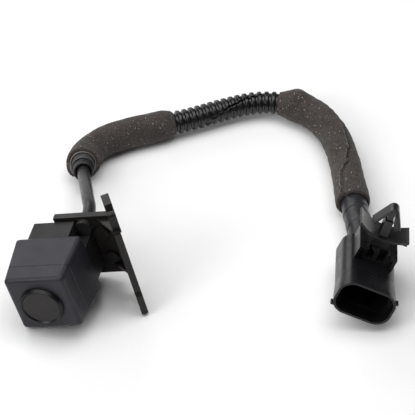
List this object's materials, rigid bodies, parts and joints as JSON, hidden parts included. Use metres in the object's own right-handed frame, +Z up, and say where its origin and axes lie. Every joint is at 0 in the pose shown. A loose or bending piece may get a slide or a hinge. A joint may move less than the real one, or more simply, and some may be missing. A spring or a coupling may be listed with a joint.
{
  "type": "backup camera",
  "caption": "Small square backup camera with an offset mounting bracket, a foam-wrapped corrugated harness and a sealed plug with a push-in clip.",
  "frame": {"origin": "on the table under the middle of the camera and its bracket, harness and plug left out", "axes": "+X to the right across the camera's face towards the bracket's flange, -Y the way the lens looks, +Z up from the table; the camera leans 17 degrees about Y as it lies"},
  "size_m": [0.1511, 0.1557, 0.0493],
  "materials": {
    "case_plastic": "fine moulded texture, charcoal",
    "bracket_plastic": "fine moulded texture, near black",
    "ring_plastic": "polished black bezel",
    "film_plastic": "satin protective film, grey",
    "lens_glass": "coated, clear",
    "metal_black": "black anodised, satin",
    "steel": "zinc plated, satin",
    "brass": "tin-flashed brass, satin",
    "board": "solder-masked glass epoxy",
    "chip": "moulded epoxy",
    "seal_rubber": "soft, dull",
    "cable_jacket": "satin extruded jacket",
    "loom_plastic": "corrugated, satin",
    "foam": "felted foam, dull, brown-grey",
    "tape": "wound vinyl tape, satin",
    "connector_plastic": "moulded nylon, satin, black",
    "lock_plastic": "moulded, tan brown",
    "clip_plastic": "moulded nylon, satin, black"
  },
  "bodies": {
    "camera": {"front_cover": "case_plastic", "main_case": "case_plastic", "cover_seal": "seal_rubber", "lens_o_ring": "seal_rubber", "lens_ring": "ring_plastic", "lens_film": "film_plastic", "lens_barrel": "metal_black", "front_lens": "lens_glass", "middle_lens": "lens_glass", "rear_lens": "lens_glass", "lens_spacer_ring": "metal_black", "lens_holder": "case_plastic", "ir_filter": "lens_glass", "image_sensor": "chip", "sensor_board": "board", "power_board": "board", "board_spacers": "brass", "board_screws": "steel", "board_connector": "chip", "video_chip": "chip", "shield_can": "steel", "wire_plug": "lock_plastic", "rear_housing": "case_plastic", "case_screws": "steel", "cable_gland": "seal_rubber", "bracket": "bracket_plastic", "bracket_screws": "steel", "camera_cable": "cable_jacket", "cable_sleeve": "tape", "tape_wrap_left": "tape", "foam_wrap_left": "foam", "corrugated_tube": "loom_plastic", "foam_wrap_right": "foam", "tape_wrap_right": "tape", "connector_housing": "connector_plastic", "terminals": "brass", "wire_seal": "seal_rubber", "lead_wires": "cable_jacket", "rear_cap": "connector_plastic"},
    "plug_lock": {"terminal_lock": "lock_plastic"},
    "harness_clip": {"connector_clip": "clip_plastic"}
  },
  "joints": [
    {"name": "clip_slide", "type": "slide", "parent": "camera", "child": "harness_clip", "axis": [-0.189, 0.9721, -0.1392], "range_m": [0, 0.02]},
    {"name": "lock_slide", "type": "slide", "parent": "camera", "child": "plug_lock", "axis": [0.189, -0.9721, 0.1392], "range_m": [0, 0.0015]}
  ]
}
